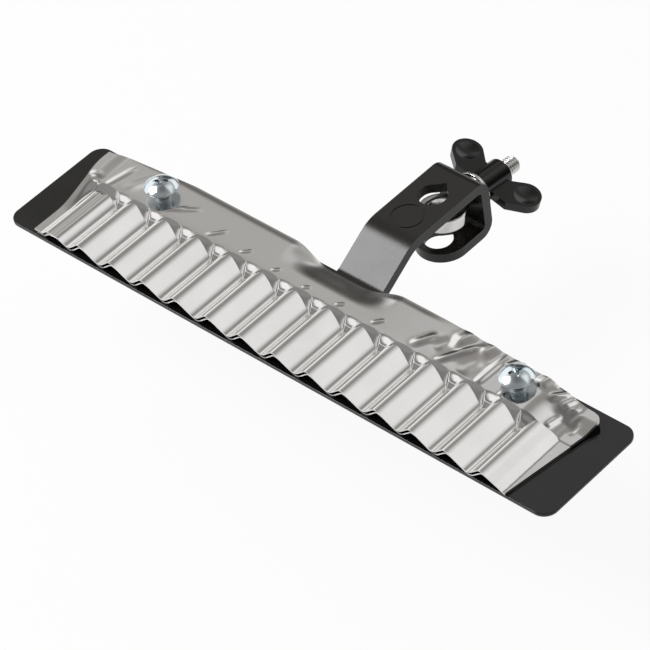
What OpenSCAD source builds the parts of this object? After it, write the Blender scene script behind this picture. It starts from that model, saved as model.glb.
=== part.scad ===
// Metal guiro for a percussion rod: two crimped steel sheets lie loose, one in
// the other, on a thin steel plate. Two screws keep them there and let them
// rattle. A bent strap under the plate ends in a loop that clamps a vertical rod.
// The origin is on the rod's axis, halfway up the clamp loop. X runs along the
// plate, Y from the plate to the wing nut, Z up. All sizes are millimetres.

/* [Plate] */
// Length of the base plate
plate_l = 304.8; // [280:0.1:330]
// Width of the base plate
plate_w = 58.4; // [50:0.1:64]
// Thickness of the base plate
plate_t = 1.65; // [1.2:0.05:2.4]
// Corner radius of the base plate
plate_corner_r = 6.5; // [4:0.5:12]
// Height of the plate's top face above the middle of the clamp loop
plate_top_z = 3.83; // [2:0.01:6]
// Distance from the rod's axis to the middle of the plate
plate_mid_y = -79.8; // [-90:0.1:-70]

/* [Crimped sheets] */
// Thickness of each sheet
sheet_t = 0.5; // [0.3:0.05:0.8]
// Distance from one crest to the next
crimp_pitch = 18.9; // [18:0.1:19.5]
// Length of the long flank, from a crest to the valley on its right
crimp_fall = 12.2; // [10:0.1:14]
// Height of a crest above a valley, both rounded
crimp_height = 4.7; // [3:0.1:5]
// Half width of the rounding at a crest
crest_round = 1.6; // [1:0.1:2]
// Half width of the rounding at a valley
valley_round = 2.2; // [1:0.1:2.6]
// Place of the first crest, from the plate's middle
first_crest_x = -126.4; // [-128:0.1:-125]
// Front edge of the crimps, from the plate's middle line
crimp_front_y = -28; // [-29:0.1:-26]
// Rear end of the crimps, from the plate's middle line
crimp_rear_y = 4; // [2:0.1:7]
// Length of the sloped end wall behind a crest
crimp_end_l = 3; // [2.4:0.1:5]
// How much longer the end wall is behind a valley
valley_end_l = 1.8; // [1.2:0.1:4]
// Rear edge of the flat margin, from the plate's middle line
sheet_rear_y = 28.4; // [26:0.1:29]
// Height of the margin above a valley
margin_height = 5.75; // [5.2:0.05:6.5]
// Gap between the plate and the lower sheet's valleys
lower_gap = 0.3; // [0.2:0.05:0.5]
// How much higher the upper sheet lies than the lower one
nest_rise = 1.35; // [1.3:0.01:1.6]
// How much the upper sheet is shifted to the left of the lower one
nest_shift = 1; // [0.5:0.05:1]
// Diameter of the clearance holes for the two screws
sheet_hole_d = 8; // [7.5:0.1:9]
// How far the margin dips in the middle, over the strap
dip_depth = 4; // [2:0.1:4]
// How far the margin comes down at its right end
right_drop = 5.2; // [3:0.1:5.3]
// How much further forward the left end begins to climb
left_climb = 20; // [10:0.5:22]
// How much further forward the upper sheet lies than the lower one
nest_forward = 0.3; // [0.1:0.05:0.5]
// How far the upper sheet's right end is pressed down towards the lower one
end_press = 0.5; // [0:0.05:0.5]

/* [Screws] */
// Distance of each screw from the plate's middle
screw_x = 100; // [95:0.5:105]
// Distance of the screws behind the plate's middle line
screw_y = 16.3; // [14:0.1:18]
// Thread diameter of the screws
screw_d = 6.35; // [6:0.05:6.5]
// Diameter of the flat domed head
screw_head_d = 15.8; // [14:0.1:17]
// Height of the head
screw_head_h = 3.6; // [3:0.1:4]
// Height of the head's underside above the plate
screw_seat = 11.8; // [11.5:0.1:13]
// Length of the screw under its head
screw_l = 22.2; // [21:0.1:25]
// Width of the cross recess
recess_w = 7.6; // [6:0.1:8.5]
// Depth of the cross recess
recess_depth = 2.7; // [2:0.1:3]
// Width across the flats of the nuts
nut_flats = 11.1; // [10.5:0.1:11.5]
// Height of the thin nuts on top of the plate
jam_nut_h = 3.9; // [3:0.1:4.2]
// Height of the lock nuts under the plate
lock_nut_h = 7; // [6:0.1:7.2]
// Outer diameter of the washers under the plate
washer_d = 15.9; // [14:0.1:17]
// Thickness of the washers under the plate
washer_t = 1.4; // [1:0.1:1.6]

/* [Strap] */
// Width of the strap
strap_w = 25; // [23:0.5:28]
// Thickness of the strap
strap_t = 4.76; // [4:0.01:5]
// Front end of the strap under the plate, from the plate's middle line
strap_start = -19; // [-24:0.5:-17]
// Place of the lower bend, from the plate's middle line
strap_rise_y = 31; // [30.5:0.1:32]
// Slope of the rising part
strap_slope = 31.2; // [30:0.1:33]
// Inside height of the clamp loop
loop_h = 20.34; // [20:0.02:21]
// Distance from the rod's axis to the inside of the end wall
loop_wall_y = 16.5; // [16.2:0.1:19]
// Inside radius of the lower bend of the rise, behind the plate
low_bend_r = 6; // [3:0.5:6.3]
// Inside radius of the upper bend of the rise
top_bend_r = 14; // [3:0.5:16]
// Inside radius of the loop's bends
bend_r = 2.2; // [1:0.1:2.6]
// Radius of the rod holes
rod_hole_r = 6.6; // [6.5:0.05:7]
// Sides of the hole's V as a share of its radius; 1 would make them tangent
rod_v = 0.97; // [0.9:0.01:0.98]
// Radius of the hole for the eye bolt in the end wall
stud_hole_r = 4.55; // [4.5:0.05:4.8]
// Distance from the rod's axis to the stamped ring
stamp_y = -16.3; // [-16.8:0.1:-14.5]
// Radius of the stamped ring
stamp_r = 7.6; // [6:0.1:8]
// Distance from the rod's axis to the middle of the lower strap's round end
lower_end_y = 2.6; // [1:0.1:4]
// Diameter of the rivets between plate and strap
rivet_d = 5; // [4:0.1:6]

/* [Eye bolt and wing nut] */
// Droop of the loose eye bolt below the level
droop = 7; // [0:0.5:7]
// Height of the eye bolt's axis in the end wall, from the loop's middle
stud_z = -0.67; // [-1:0.01:0]
// Thread diameter of the eye bolt
stud_d = 7.94; // [7.5:0.01:8]
// Thread pitch of the eye bolt
stud_pitch = 1.411; // [1.25:0.001:1.5]
// Distance from the middle of the end wall to the tip of the eye bolt
stud_tip = 33; // [28:0.1:34]
// Distance from the middle of the end wall to the middle of the eye
eye_back = 14.8; // [14.6:0.1:16]
// Outer radius of the eye
eye_r = 10.6; // [10:0.1:10.8]
// Bore radius of the eye
eye_bore_r = 6.8; // [6.6:0.05:7]
// Height of the eye
eye_h = 6.35; // [5.5:0.05:6.5]
// Radius of the wing nut's hub
hub_r = 6.65; // [6:0.05:7]
// Length of the wing nut's hub
hub_l = 17; // [15:0.1:18]
// Distance from the middle of the end wall to the hub
hub_start = 6.4; // [6.4:0.1:7]
// Thickness of the wings
wing_t = 4.2; // [3.5:0.1:5]
// Radius of the round end of a wing
wing_end_r = 7; // [6.5:0.1:7.5]
// Distance from the nut's axis to the middle of a wing's round end
wing_end_x = 17; // [15:0.1:18]
// Turn of the wings about the nut's axis
wing_turn = 14.5; // [0:0.5:90]

/* [Hidden] */
$fn = 64;
// Clearance between a rivet and its hole
rivet_fit = 0.05;
// Running clearance of the eye bolt in the wing nut
thread_fit = 0.03;
// Crest count of a sheet
crests = 14;
// Overlap that joins the solids of one piece
joint_eps = 0.02;
// Diameters of a rivet's countersunk head and of its foot
rivet_head_d = rivet_d + 2.4;
rivet_foot_d = rivet_d + 3.6;
// How far past its hub's near end a wing starts, and has the middle of its round end
wing_start = 3.5;
wing_mid = 14;
// Radius of the hollow in a wing's faces, and its depth
dish_r = 19;
dish_depth = 0.9;
rivet_ys = [-8, 14];
strap_top_z = loop_h / 2 + strap_t;
plate_low_z = plate_top_z - plate_t;
// Outside corner where the rise meets the top strap, on the strap's top face
rise_top_y = plate_mid_y + strap_rise_y + (strap_top_z - plate_low_z) / tan(strap_slope);
stud_y = loop_wall_y + strap_t / 2;
// Outside radius of the bends, and the middles of the loop's rounded corners
out_r = bend_r + strap_t;
far_y = loop_wall_y - bend_r;
corner_z = loop_h / 2 - bend_r;
sharp_fall = (crimp_height + crest_loss() + valley_loss()) / crimp_fall;
sharp_rise = (crimp_height + crest_loss() + valley_loss()) / (crimp_pitch - crimp_fall);
thread_depth = 0.613 * stud_pitch;

// Slope change of the crimp at its corners, before rounding, as a guess that
// only sets how much the rounding lowers a crest or lifts a valley.
function slope_jump() = crimp_height / crimp_fall + crimp_height / (crimp_pitch - crimp_fall);
function crest_loss() = slope_jump() * crest_round / 4;
function valley_loss() = slope_jump() * valley_round / 4;

// Height of the crimped sheet above its valley at a distance u past a crest
function sharp(u) = u < crimp_fall
    ? crimp_height + crest_loss() - u * sharp_fall
    : (u - crimp_fall) * sharp_rise - valley_loss();
function bump(t, w) = abs(t) < w ? (sharp_fall + sharp_rise) * (w - abs(t)) * (w - abs(t)) / (4 * w) : 0;
function wrap(u) = u - crimp_pitch * floor(u / crimp_pitch);
function crimp(u) = sharp(u) - bump(u, crest_round) - bump(u - crimp_pitch, crest_round)
    + bump(u - crimp_fall, valley_round);

function ease(t) = t <= 0 ? 0 : t >= 1 ? 1 : t * t * (3 - 2 * t);
// The crimps repeat along a sheet, but the bends at its ends and in its margin
// lie at one place for both sheets, so a shifted sheet has them shifted back by dx.
// The first and last crimps fade out towards the ends of the sheet
function first_low(x) = 2.2 * ease((first_crest_x + 6 - x) / 6);
function last_low(x) = 1.4 * ease((x - last_crest_x - 1) / 7);
function crimped(x, dx) = max(0, crimp(wrap(x - first_crest_x)) - first_low(x + dx) - last_low(x + dx));
// Share of a plain left end, which climbs in one long wave
function left_end(x) = ease((first_crest_x - 0.5 - x) / 6.5);
// The end wall climbs from each crimp to the margin
function wall(x, y, dx) = ease((y - crimp_rear_y + left_climb * left_end(x + dx))
    / (crimp_end_l + valley_end_l * (1 - crimp(wrap(x - first_crest_x)) / crimp_height)
        + (left_climb + 1) * left_end(x + dx)));
// The margin sags towards its rear edge in the middle of the sheet
function dip(x, y) = dip_depth * ease((y - 12) / 15) * ease((31 - abs(x + 1)) / 20);
// and comes down towards the plate at the right end
function drop(x, y) = right_drop * ease((x - 110) / 19) * (1 - 0.35 * ease((y - 12) / 9));
function margin(x, y) = margin_height + left_end(x) - dip(x, y) - drop(x, y);
// The shifted sheet is pressed down towards the other one at the right end
function pressed(x, dx) = dx == 0 ? 0 : end_press * ease((x - last_crest_x - 5) / 6);
function sheet_z(x, y, dx) = (1 - wall(x, y, dx)) * crimped(x, dx) + wall(x, y, dx) * margin(x + dx, y)
    - pressed(x, dx);

// Columns of the grid: closer together at a crest and a valley
steps = [0, 0.8, 1.6, 4.4, 7.2, 10, 11.1, 12.2, 13.3, 14.4, 15.9, 17.3, 18.1];
last_crest_x = first_crest_x + crimp_pitch * (crests - 1);
left_x = -134.6;
columns = concat([left_x, -133.9, -133.1, -131.6, -129.6, -128, -127.2],
    [for (i = [0 : crests - 2]) for (u = steps) first_crest_x + crimp_pitch * i + u],
    [for (u = [0, 0.8, 1.6, 4.4, 7.2, 9.8, 11.8]) last_crest_x + u]);
rows = [0, 0.35, 0.55, 0.7, 0.85, 0.985, 1, 1.2, 1.4, 1.6, 1.8, 2, 2.4, 2.7, 3];
right_front_x = last_crest_x + 11.8;
right_rear_x = 138.4;

// The rear edge is cut back towards both ends and in the middle, over the strap
left_cut_x = -90;
right_cut_x = 42;
function rear_y(x) = sheet_rear_y - 0.1 * max(0, left_cut_x - x) - 2 * ease((-x - 126) / 8)
    - 0.037 * max(0, x - right_cut_x) - 0.4 * ease((x - 108) / 16)
    - 4 * pow(max(0, x - 134) / 4.4, 2) - 3.4 * ease((31 - abs(x + 1)) / 24);
function front_y(x) = crimp_front_y - 1.2 * ease((x - 60) / 68);
margin_y = crimp_rear_y + crimp_end_l + valley_end_l;
function row_y(r, x) = r <= 1 ? front_y(x) + r * (crimp_rear_y - front_y(x))
    : r <= 2 ? crimp_rear_y + (r - 1) * (margin_y - crimp_rear_y)
    : margin_y + (r - 2) * (rear_y(x) - margin_y);
// Past the last crest the sheet widens towards its uncrimped margin. Both sheets
// end at one line there, so the shifted one is a little longer.
function right_x(y) = right_front_x + (right_rear_x - right_front_x) * min(1, max(0, y + 29) / 52);
function spread(x, y, dx) = x <= last_crest_x ? x : last_crest_x
    + (x - last_crest_x) * (right_x(y) - dx - last_crest_x) / (right_front_x - last_crest_x);
function spread_left(x, y) = x >= first_crest_x ? x
    : first_crest_x + (x - first_crest_x) * (1 + 0.22 * ease((y - 4) / 14));
function place(x, y, dx) = spread(spread_left(x, y), y, dx);
function mid(c, r, dx) = let(y = row_y(r, c), x = place(c, y, dx), y2 = row_y(r, x < last_crest_x ? c : x))
    [x, y2, sheet_z(c, y2, dx)];
function step_n(c, r, dx) = let(e = 0.05, y = row_y(r, c),
    gx = (sheet_z(c + e, y, dx) - sheet_z(c - e, y, dx)) / (2 * e),
    gy = (sheet_z(c, y + e, dx) - sheet_z(c, y - e, dx)) / (2 * e),
    n = [-gx, -gy, 1]) n / norm(n);

module sheet(dx) {
    nx = len(columns);
    ny = len(rows);
    low = [for (c = columns) for (r = rows) mid(c, r, dx) - step_n(c, r, dx) * sheet_t / 2];
    high = [for (c = columns) for (r = rows) mid(c, r, dx) + step_n(c, r, dx) * sheet_t / 2];
    n = nx * ny;
    faces = concat(
        [for (i = [0 : nx - 2]) for (j = [0 : ny - 2]) [i * ny + j, (i + 1) * ny + j, i * ny + j + 1]],
        [for (i = [0 : nx - 2]) for (j = [0 : ny - 2])
            [(i + 1) * ny + j, (i + 1) * ny + j + 1, i * ny + j + 1]],
        [for (i = [0 : nx - 2]) for (j = [0 : ny - 2])
            [n + i * ny + j, n + i * ny + j + 1, n + (i + 1) * ny + j]],
        [for (i = [0 : nx - 2]) for (j = [0 : ny - 2])
            [n + (i + 1) * ny + j, n + i * ny + j + 1, n + (i + 1) * ny + j + 1]],
        [for (i = [0 : nx - 2]) [i * ny, n + i * ny, (i + 1) * ny]],
        [for (i = [0 : nx - 2]) [(i + 1) * ny, n + i * ny, n + (i + 1) * ny]],
        [for (i = [0 : nx - 2]) [i * ny + ny - 1, (i + 1) * ny + ny - 1, n + i * ny + ny - 1]],
        [for (i = [0 : nx - 2]) [(i + 1) * ny + ny - 1, n + (i + 1) * ny + ny - 1, n + i * ny + ny - 1]],
        [for (j = [0 : ny - 2]) [j, j + 1, n + j]],
        [for (j = [0 : ny - 2]) [j + 1, n + j + 1, n + j]],
        [for (j = [0 : ny - 2]) [(nx - 1) * ny + j, n + (nx - 1) * ny + j, (nx - 1) * ny + j + 1]],
        [for (j = [0 : ny - 2])
            [(nx - 1) * ny + j + 1, n + (nx - 1) * ny + j, n + (nx - 1) * ny + j + 1]]);
    polyhedron(points = concat(low, high), faces = faces);
}

// One crimped sheet with its two clearance holes, in the plate's own place
module ribbon(dx, dy, dz) {
    translate([0, plate_mid_y, plate_top_z + lower_gap + sheet_t / 2 + dz])
        difference() {
            translate([dx, dy, 0]) sheet(dx);
            for (s = [-1, 1])
                translate([s * screw_x, screw_y, 0]) cylinder(d = sheet_hole_d, h = 12);
        }
}

module at_screws() {
    for (s = [-1, 1]) translate([s * screw_x, plate_mid_y + screw_y, 0]) children();
}

module base_plate() {
    color("#1b1b1c") translate([0, plate_mid_y, plate_low_z]) difference() {
        union() {
            translate([-plate_l / 2 + plate_corner_r, -plate_w / 2, 0])
                cube([plate_l - 2 * plate_corner_r, plate_w, plate_t]);
            translate([-plate_l / 2, -plate_w / 2 + plate_corner_r, 0])
                cube([plate_l, plate_w - 2 * plate_corner_r, plate_t]);
            for (sx = [-1, 1]) for (sy = [-1, 1])
                translate([sx * (plate_l / 2 - plate_corner_r), sy * (plate_w / 2 - plate_corner_r), 0])
                    cylinder(r = plate_corner_r, h = plate_t);
        }
        for (s = [-1, 1])
            translate([s * screw_x, screw_y, -1]) cylinder(d = screw_d + 0.4, h = plate_t + 2);
        for (y = rivet_ys) translate([0, y, 0]) {
            translate([0, 0, -1]) cylinder(d = rivet_d + 2 * rivet_fit, h = plate_t + 2);
            translate([0, 0, plate_t - 1.2])
                cylinder(d1 = rivet_d + 2 * rivet_fit, d2 = rivet_head_d + 2 * rivet_fit, h = 1.2);
            translate([0, 0, plate_t]) cylinder(d = rivet_head_d + 2 * rivet_fit, h = 1);
        }
    }
}

module lower_ribbon() {
    color("#c9cbcd") ribbon(0, 0, 0);
}

module upper_ribbon() {
    color("#d4d6d8") ribbon(-nest_shift, -nest_forward, nest_rise);
}

module ribbon_screws() {
    cap_r = (screw_head_d * screw_head_d / 4 + screw_head_h * screw_head_h) / (2 * screw_head_h);
    color("#b9c2cc") at_screws() translate([0, 0, plate_top_z + screw_seat]) {
        difference() {
            intersection() {
                translate([0, 0, screw_head_h - cap_r]) sphere(r = cap_r);
                cylinder(d = screw_head_d - 0.4, h = screw_head_h + 1);
            }
            for (a = [45, 135]) rotate([0, 0, a])
                translate([-recess_w / 2, -0.8, screw_head_h - recess_depth])
                    cube([recess_w, 1.6, recess_depth + 1]);
            translate([0, 0, screw_head_h - recess_depth])
                cylinder(d1 = 2.4, d2 = 4.4, h = recess_depth + 0.5);
        }
        translate([0, 0, -screw_l]) cylinder(d = screw_d, h = screw_l + joint_eps);
    }
}

module hex_nut(flats, h, bore) {
    difference() {
        cylinder(d = flats / cos(30), h = h, $fn = 6);
        translate([0, 0, -1]) cylinder(d = bore, h = h + 2);
    }
}

module jam_nuts() {
    color("#b9c2cc") at_screws() translate([0, 0, plate_top_z])
        hex_nut(nut_flats, jam_nut_h, screw_d + 0.06);
}

module plate_washers() {
    color("#b9c2cc") at_screws() translate([0, 0, plate_low_z - washer_t]) difference() {
        cylinder(d = washer_d, h = washer_t);
        translate([0, 0, -1]) cylinder(d = screw_d + 0.5, h = washer_t + 2);
    }
}

module lock_nuts() {
    color("#b9c2cc") at_screws() translate([0, 0, plate_low_z - washer_t - lock_nut_h]) difference() {
        union() {
            translate([0, 0, 1.9])
                cylinder(d = nut_flats / cos(30), h = lock_nut_h - 1.9, $fn = 6);
            cylinder(d = nut_flats - 0.6, h = 2);
        }
        translate([0, 0, -1]) cylinder(d = screw_d + 0.06, h = lock_nut_h + 2);
        translate([0, 0, 0.4]) cylinder(d = nut_flats - 1.8, h = 1.7);
    }
}

module lock_nut_inserts() {
    color("#4a86c8") at_screws() translate([0, 0, plate_low_z - washer_t - lock_nut_h]) difference() {
        translate([0, 0, 0.45]) cylinder(d = nut_flats - 1.9, h = 1.6);
        translate([0, 0, -1]) cylinder(d = screw_d + 0.04, h = lock_nut_h);
    }
}

// Points of an arc in the YZ plane from angle a0 to a1
function arc(y, z, r, a0, a1) = [for (i = [0 : 8]) let(a = a0 + (a1 - a0) * i / 8)
    [y + r * cos(a), z + r * sin(a)]];

// Side view of the strap from its front end under the plate to the top strap
module rise() {
    low_cut = low_bend_r * tan(strap_slope / 2);
    top_cut = (top_bend_r + strap_t) * tan(strap_slope / 2);
    low_y = plate_mid_y + strap_rise_y - low_cut;
    low_z = plate_low_z + low_bend_r;
    top_y = rise_top_y + top_cut;
    top_z = strap_top_z - top_bend_r - strap_t;
    rotate([90, 0, 90]) translate([0, 0, -strap_w / 2]) linear_extrude(strap_w) polygon(concat(
        [[plate_mid_y + strap_start, plate_low_z - strap_t], [plate_mid_y + strap_start, plate_low_z]],
        arc(low_y, low_z, low_bend_r, -90, -90 + strap_slope),
        arc(top_y, top_z, top_bend_r + strap_t, 90 + strap_slope, 90),
        [[far_y, strap_top_z], [far_y, loop_h / 2]],
        arc(top_y, top_z, top_bend_r, 90, 90 + strap_slope),
        arc(low_y, low_z, low_bend_r + strap_t, -90 + strap_slope, -90)));
}

module along_x(y, z, r, w) {
    translate([-w / 2, y, z]) rotate([0, 90, 0]) cylinder(r = r, h = w);
}

// The clamp loop: top strap, end wall and lower strap with rounded corners
module loop() {
    difference() {
        union() {
            translate([-strap_w / 2, lower_end_y, -strap_top_z])
                cube([strap_w, far_y - lower_end_y, 2 * strap_top_z]);
            translate([-strap_w / 2, lower_end_y, -corner_z])
                cube([strap_w, loop_wall_y + strap_t - lower_end_y, 2 * corner_z]);
            for (s = [-1, 1]) along_x(far_y, s * corner_z, out_r, strap_w);
        }
        translate([-strap_w / 2 - 1, lower_end_y - 1, -loop_h / 2])
            cube([strap_w + 2, far_y - lower_end_y + 1, loop_h]);
        translate([-strap_w / 2 - 1, lower_end_y - 1, -corner_z])
            cube([strap_w + 2, loop_wall_y - lower_end_y + 1, 2 * corner_z]);
        for (s = [-1, 1]) along_x(far_y, s * corner_z, bend_r, strap_w + 2);
    }
}

module rod_hole(z) {
    translate([0, 0, z]) {
        cylinder(r = rod_hole_r, h = strap_t + 2);
        rotate([0, 0, 45]) cube([rod_v * rod_hole_r, rod_v * rod_hole_r, strap_t + 2]);
    }
}

module mount_bracket() {
    color("#161617") difference() {
        union() {
            rise();
            loop();
            translate([0, lower_end_y, -strap_top_z]) cylinder(d = strap_w, h = strap_t);
        }
        rod_hole(loop_h / 2 - 1);
        rod_hole(-strap_top_z - 1);
        translate([0, loop_wall_y - 1, stud_z]) rotate([-90, 0, 0])
            cylinder(r = stud_hole_r, h = strap_t + 2);
        translate([0, stamp_y, strap_top_z - 0.3]) difference() {
            cylinder(r = stamp_r, h = 1);
            translate([0, 0, -1]) cylinder(r = stamp_r - 0.8, h = 3);
        }
        for (y = rivet_ys) translate([0, plate_mid_y + y, plate_low_z - strap_t - 1])
            cylinder(d = rivet_d + 2 * rivet_fit, h = strap_t + 2);
    }
}

module bracket_rivets() {
    color("#1b1b1c") for (y = rivet_ys) translate([0, plate_mid_y + y, 0]) {
        translate([0, 0, plate_low_z - strap_t - 1])
            cylinder(d = rivet_d, h = plate_t + strap_t + 1);
        translate([0, 0, plate_top_z - 1.2]) cylinder(d1 = rivet_d, d2 = rivet_head_d, h = 1.2);
        translate([0, 0, plate_low_z - strap_t - 2])
            cylinder(d1 = rivet_d + 0.6, d2 = rivet_foot_d, h = 2);
    }
}

// Frame of the loose eye bolt: Y along its drooping axis, from the middle of
// the end wall
module along_stud() {
    translate([0, stud_y, stud_z]) rotate([-droop, 0, 0]) children();
}

module ring_y(r, start, l) {
    translate([0, start, 0]) rotate([-90, 0, 0]) cylinder(r = r, h = l);
}

module eye_bolt() {
    core_r = stud_d / 2 - thread_depth;
    turns = floor((stud_tip + 0.8) / stud_pitch);
    color("#d0d3d6") along_stud() {
        difference() {
            translate([0, -eye_back, -eye_h / 2]) {
                cylinder(r = eye_r, h = eye_h);
                translate([-stud_d / 2, eye_bore_r + 1, 0])
                    cube([stud_d, eye_r - eye_bore_r - 1, eye_h]);
            }
            translate([0, -eye_back, -eye_h]) cylinder(r = eye_bore_r, h = 2 * eye_h);
        }
        difference() {
            ring_y(stud_d / 2, -eye_back + eye_bore_r + 2, stud_tip + eye_back - eye_bore_r - 2);
            // Thread grooves from inside the wall to the tip
            rotate([-90, 0, 0]) rotate_extrude() for (i = [0 : turns - 1])
                translate([0, stud_tip - 0.6 - i * stud_pitch]) polygon([
                    [core_r, -stud_pitch / 2 - 0.08], [core_r, -stud_pitch / 2 + 0.08],
                    [stud_d / 2 + 0.1, -0.02], [stud_d / 2 + 0.1, -stud_pitch + 0.02]]);
        }
    }
}

module spring_washer() {
    color("#c4c7ca") along_stud() translate([0, 3.35, 0]) rotate([-90, 0, 0])
        rotate([0, 0, 40]) rotate_extrude(angle = 352) translate([4.15, 0]) square([2.85, 1.5]);
}

module flat_washer() {
    color("#c4c7ca") along_stud() difference() {
        ring_y(9.1, 4.87, 1.5);
        ring_y(4.35, 4, 4);
    }
}

// Point where a line from p touches the circle about c, on the chosen side
function touch(p, c, r, side) = let(v = p - c, d = norm(v), a = side * acos(r / d))
    c + r / d * [v[0] * cos(a) - v[1] * sin(a), v[0] * sin(a) + v[1] * cos(a)];

module wing() {
    c = [wing_end_x, hub_start + wing_mid];
    near = [14.5, hub_start + wing_start];
    far = [hub_r + 0.6, hub_start + hub_l - 2];
    translate([0, 0, -wing_t / 2]) linear_extrude(wing_t) union() {
        translate(c) circle(r = wing_end_r);
        polygon([[hub_r - 2.2, near[1]], near, touch(near, c, wing_end_r, 1), c,
            touch(far, c, wing_end_r, -1), far, [hub_r - 2.2, far[1]]]);
    }
}

module wing_nut() {
    color("#131314") along_stud() rotate([0, wing_turn, 0]) difference() {
        union() {
            ring_y(hub_r, hub_start, hub_l);
            wing();
            mirror([1, 0, 0]) wing();
        }
        for (s = [-1, 1]) for (t = [-1, 1])
            translate([s * wing_end_x, hub_start + wing_mid, t * (wing_t / 2 - dish_depth + dish_r)])
                sphere(r = dish_r);
        ring_y(stud_d / 2 + thread_fit, hub_start - 1, hub_l + 2);
    }
}

base_plate();
lower_ribbon();
upper_ribbon();
ribbon_screws();
jam_nuts();
plate_washers();
lock_nuts();
lock_nut_inserts();
mount_bracket();
bracket_rivets();
eye_bolt();
spring_washer();
flat_washer();
wing_nut();
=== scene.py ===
# A metal guiro on a rod clamp: a black steel plate, two loose crimped sheets, their
# two screws, and a bent strap whose loop clamps a percussion rod with a wing nut.
import math
import bmesh
import bpy
import numpy as np
from mathutils import Matrix, Vector


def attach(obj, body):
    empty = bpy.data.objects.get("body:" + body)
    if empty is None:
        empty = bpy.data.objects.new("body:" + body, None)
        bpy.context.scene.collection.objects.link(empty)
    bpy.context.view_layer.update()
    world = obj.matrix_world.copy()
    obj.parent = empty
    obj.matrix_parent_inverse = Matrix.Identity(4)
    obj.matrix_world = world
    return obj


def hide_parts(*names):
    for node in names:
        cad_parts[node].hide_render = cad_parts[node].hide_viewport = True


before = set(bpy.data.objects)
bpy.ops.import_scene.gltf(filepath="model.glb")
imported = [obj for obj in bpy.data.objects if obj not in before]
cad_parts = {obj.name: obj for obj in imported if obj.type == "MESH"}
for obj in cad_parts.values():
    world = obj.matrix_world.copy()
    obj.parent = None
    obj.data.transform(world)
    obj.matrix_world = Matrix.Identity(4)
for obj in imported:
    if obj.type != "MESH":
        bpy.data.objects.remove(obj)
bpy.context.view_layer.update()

# Base plate. A strip of cold rolled steel, cut with round corners, its edges
# broken, then dipped in glossy black lacquer. It carries everything else.
MM = 0.001


def linear(hex_colour):
    parts = [int(hex_colour[i:i + 2], 16) / 255 for i in (1, 3, 5)]
    return tuple(c / 12.92 if c <= 0.04045 else ((c + 0.055) / 1.055) ** 2.4 for c in parts) + (1,)


def add(tree, kind, settings, links):
    node = tree.nodes.new(kind)
    for key, value in settings.items():
        if key == "stops":
            ramp = node.color_ramp
            while len(ramp.elements) < len(value):
                ramp.elements.new(0.5)
            for stop, (place, colour) in zip(ramp.elements, value):
                stop.position = place
                stop.color = colour
        elif isinstance(key, int) or key in node.inputs:
            node.inputs[key].default_value = value
        else:
            setattr(node, key, value)
    for key, source in links.items():
        tree.links.new(source, node.inputs[key])
    return node


def start_material(name, **sockets):
    material = bpy.data.materials.new(name)
    material.use_nodes = True
    shader = material.node_tree.nodes["Principled BSDF"]
    for key, value in sockets.items():
        shader.inputs[key.replace("_", " ")].default_value = value
    place = add(material.node_tree, "ShaderNodeTexCoord", {}, {})
    return material, material.node_tree, shader, place.outputs["Object"]


def into_shader(tree, shader, **sources):
    for key, source in sources.items():
        tree.links.new(source, shader.inputs[key.replace("_", " ")])


# Black lacquer on steel gives the eye a deep black with sharp reflections, a faint
# orange peel from the dip, and rub marks that dull the gloss in places. As in every
# material here, a pattern's scale is 1000 over its size in millimetres.
black_lacquer, tree, shader, place = start_material("black_lacquer_on_steel", IOR=1.52)
peel = add(tree, "ShaderNodeTexNoise", {"Scale": 1000 / 1.6, "Detail": 2.0}, {"Vector": place})
rubs = add(tree, "ShaderNodeTexNoise", {"Scale": 1000 / 22, "Detail": 6.0, "Roughness": 0.65},
           {"Vector": place})
gloss = add(tree, "ShaderNodeMapRange", {"From Min": 0.35, "From Max": 0.75, "To Min": 0.07, "To Max": 0.2},
            {"Value": rubs.outputs["Fac"]})
tint = add(tree, "ShaderNodeMix", {"data_type": "RGBA", 6: linear("#0C0C0D"), 7: linear("#161514")},
           {0: rubs.outputs["Fac"]})
bump = add(tree, "ShaderNodeBump", {"Strength": 0.02, "Distance": 0.00004}, {"Height": peel.outputs["Fac"]})
into_shader(tree, shader, Roughness=gloss.outputs["Result"], Base_Color=tint.outputs[2],
            Normal=bump.outputs["Normal"])


def new_object(name, data):
    thing = bpy.data.objects.new(name, data)
    bpy.context.scene.collection.objects.link(thing)
    return thing


def make_piece(name, points, faces, material, sharp=35):
    mesh = bpy.data.meshes.new(name)
    mesh.from_pydata([tuple(p) for p in points], [], [tuple(f) for f in faces])
    mesh.validate()
    bm = bmesh.new()
    bm.from_mesh(mesh)
    bmesh.ops.recalc_face_normals(bm, faces=bm.faces)
    bm.to_mesh(mesh)
    bm.free()
    mesh.shade_smooth()
    mesh.set_sharp_from_angle(angle=math.radians(sharp))
    mesh.materials.append(material)
    return new_object(name, mesh)


def ring_faces(rings, around):
    """Faces of a closed body made of equal rings of points, with a flat face at each end."""
    faces = []
    for k in range(rings - 1):
        for i in range(around):
            j = (i + 1) % around
            faces.append((k * around + i, k * around + j, (k + 1) * around + j, (k + 1) * around + i))
    last = (rings - 1) * around
    return faces + [tuple(range(around)), tuple(range(last, last + around))]


PLATE_TOP, PLATE_T, PLATE_MID_Y = 3.83, 1.65, -79.8
PLATE_HALF_L, PLATE_HALF_W, PLATE_CORNER = 152.4, 29.2, 6.5
BROKEN_EDGE = 0.32


def plate_outline(inset):
    half_l, half_w, r = PLATE_HALF_L - inset, PLATE_HALF_W - inset, PLATE_CORNER - inset
    points = []
    for cx, cy, start in ((1, 1, 0), (-1, 1, 90), (-1, -1, 180), (1, -1, 270)):
        for step in range(25):
            a = math.radians(start + step * 3.75)
            points.append((cx * (half_l - r) + r * math.cos(a), cy * (half_w - r) + r * math.sin(a)))
    return points


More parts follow.
